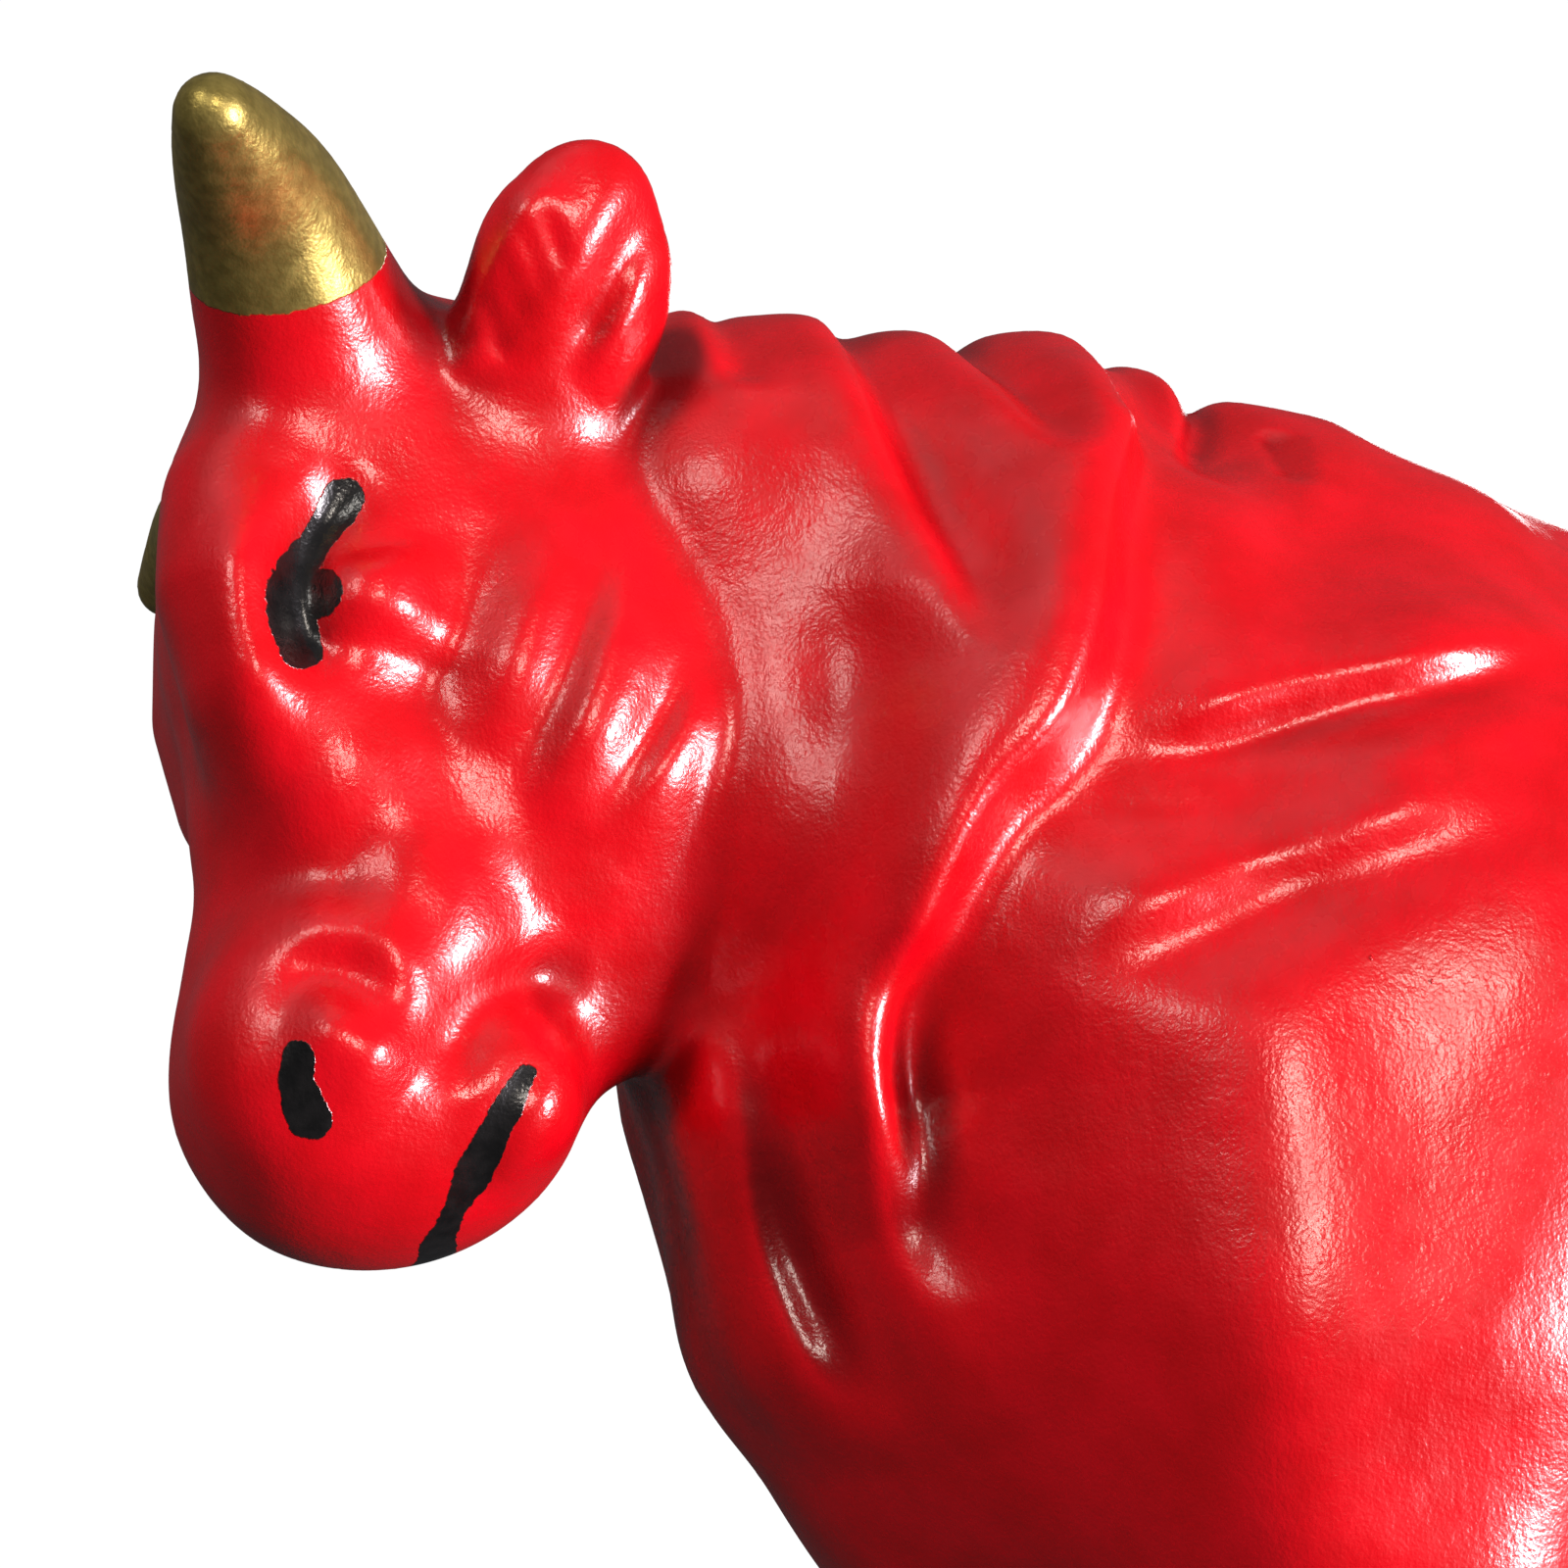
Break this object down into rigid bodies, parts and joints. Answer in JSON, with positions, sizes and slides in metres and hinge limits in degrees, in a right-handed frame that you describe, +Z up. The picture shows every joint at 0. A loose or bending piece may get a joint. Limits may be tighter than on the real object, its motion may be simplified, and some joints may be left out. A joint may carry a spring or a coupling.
{
  "type": "ceramic bull figurine",
  "caption": "Standing ceramic bull with a lowered head, folded neck and dewlap, painted red with gold horns and black brushed eyes, nostrils and mouth.",
  "frame": {"origin": "centre of the bounding box's base, on the surface that the hooves stand on", "axes": "+Z up; -X is the way the bull faces; +Y is its right side"},
  "size_m": [0.2416, 0.0882, 0.1669],
  "materials": {
    "red_paint": "satin",
    "gold_paint": "satin"
  },
  "bodies": {
    "root": {"trunk": "red_paint", "neck": "red_paint", "head": "red_paint", "ear_left": "red_paint", "ear_right": "red_paint", "foreleg_left": "red_paint", "foreleg_right": "red_paint", "hindleg_left": "red_paint", "hindleg_right": "red_paint", "tail": "red_paint", "horn_left": "gold_paint", "horn_right": "gold_paint"}
  },
  "joints": []
}
